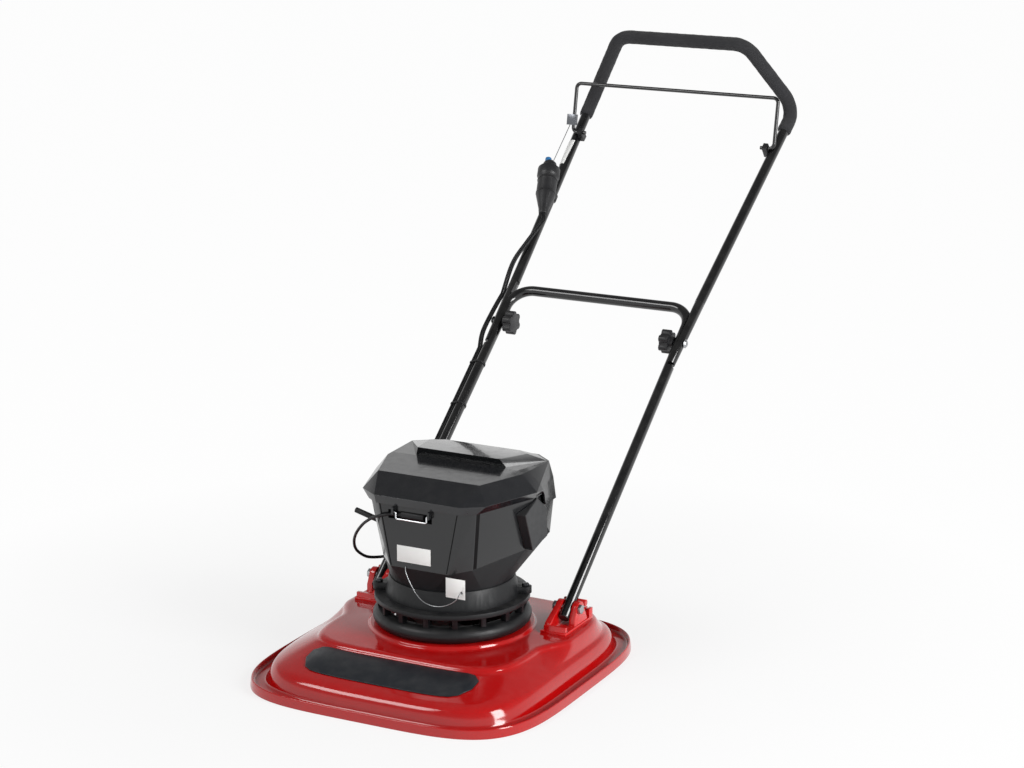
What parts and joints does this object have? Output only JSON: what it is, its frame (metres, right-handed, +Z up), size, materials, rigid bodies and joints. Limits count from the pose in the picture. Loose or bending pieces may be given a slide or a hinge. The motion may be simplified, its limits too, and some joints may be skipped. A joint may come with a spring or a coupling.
{
  "type": "hover_mower",
  "caption": "Hover mower with a glossy red hood, black battery motor head on an intake ring, folding black tube handle, foam grip loop, wire bail and start switch",
  "frame": {"origin": "on the ground, on the motor shaft's axis, in the plane of the rest face under the lip", "axes": "+Z up along the motor shaft, -Y towards the front of the hood, +Y towards the grip, X across with the start switch at -X"},
  "size_m": [0.57, 1.391, 1.0157],
  "materials": {
    "deck_red": "gloss",
    "plate_dark": "satin",
    "cowl_black": "satin",
    "lid_black": "gloss",
    "ring_black": "matte",
    "cast_dark": "satin",
    "tube_black": "gloss",
    "foam_dark": "matte",
    "cable_rubber": "matte",
    "knob_dark": "satin",
    "steel": "brushed",
    "bail_grey": "satin",
    "bright": "polished",
    "copper": "satin",
    "board_green": "satin",
    "sink": "satin",
    "blank_white": "matte",
    "button_blue": "gloss"
  },
  "bodies": {
    "deck": {"deck_shell": "deck_red", "front_plate": "plate_dark", "left_bracket": "deck_red", "right_bracket": "deck_red", "bracket_screws": "steel", "pivot_bolts": "steel", "base_ring": "ring_black", "intake_cage": "ring_black", "motor_mount": "cast_dark", "mount_bolts": "steel", "bearings": "steel", "stator": "copper", "under_cowl": "cowl_black", "lower_cowl": "cowl_black", "front_cover": "cowl_black", "left_side_cover": "cowl_black", "right_side_cover": "cowl_black", "lid_hinge_pins": "steel", "control_board": "board_green", "heat_sink": "sink", "battery": "knob_dark", "front_plug": "cable_rubber", "loop_cable": "cable_rubber", "cable_glands": "cable_rubber", "side_plug": "cable_rubber", "blank_label": "blank_white", "blank_tag": "blank_white", "tag_wire": "bright"},
    "lid": {"battery_lid": "lid_black"},
    "spindle": {"shaft": "steel", "rotor": "steel", "impeller": "ring_black", "blade_spacer": "steel", "cutter_blade": "steel", "blade_washer": "steel", "blade_bolt": "steel"},
    "clip": {"plug_clip": "bright"},
    "lower_handle": {"lower_tube": "tube_black", "leg_plugs": "cable_rubber", "clamp_bolts": "bright", "cable_ties": "cable_rubber", "lower_cables": "cable_rubber", "tail_sheath": "cable_rubber"},
    "upper_handle": {"upper_tube": "tube_black", "lap_ends": "tube_black", "foam_grip": "foam_dark", "bail_saddles": "tube_black", "tube_sleeve": "blank_white", "switch_body": "knob_dark", "switch_cap": "knob_dark", "switch_clamp": "tube_black", "upper_cables": "cable_rubber", "fold_cables": "cable_rubber"},
    "bail": {"bail_rod": "bail_grey", "cable_yoke": "bail_grey", "pull_wire": "bright"},
    "knob_left": {"left_knob": "knob_dark"},
    "knob_right": {"right_knob": "knob_dark"},
    "button": {"start_button": "button_blue"}
  },
  "joints": [
    {"name": "spindle_spin", "type": "hinge", "parent": "deck", "child": "spindle", "pos_m": [0, 0, 0], "axis": [0, 0, 1], "continuous": true},
    {"name": "lid_open", "type": "hinge", "parent": "deck", "child": "lid", "pos_m": [0, 0.147, 0.298], "axis": [-1, 0, 0], "range_deg": [0, 75]},
    {"name": "clip_open", "type": "hinge", "parent": "deck", "child": "clip", "pos_m": [-0.0115, -0.127, 0.308], "axis": [-1, 0, 0], "range_deg": [0, 90]},
    {"name": "handle_pitch", "type": "hinge", "parent": "deck", "child": "lower_handle", "pos_m": [0, 0.08, 0.105], "axis": [1, 0, 0], "range_deg": [0, 51], "deforming": ["tail_sheath"]},
    {"name": "handle_fold", "type": "hinge", "parent": "lower_handle", "child": "upper_handle", "pos_m": [0, 0.55395, 0.48743], "axis": [1, 0, 0], "range_deg": [0, 120], "deforming": ["fold_cables"]},
    {"name": "bail_pull", "type": "hinge", "parent": "upper_handle", "child": "bail", "pos_m": [0, 0.941, 0.80427], "axis": [-1, 0, 0], "range_deg": [0, 34], "stiffness_Nm_per_rad": 0.6, "deforming": ["pull_wire"]},
    {"name": "left_knob_turn", "type": "hinge", "parent": "lower_handle", "child": "knob_left", "pos_m": [-0.17, 0.55395, 0.48743], "axis": [-1, 0, 0], "continuous": true},
    {"name": "right_knob_turn", "type": "hinge", "parent": "lower_handle", "child": "knob_right", "pos_m": [0.17, 0.55395, 0.48743], "axis": [1, 0, 0], "continuous": true},
    {"name": "start_press", "type": "slide", "parent": "upper_handle", "child": "button", "axis": [0.2436, -0.72, -0.6498], "range_m": [0, 0.003], "stiffness_N_per_m": 400}
  ]
}
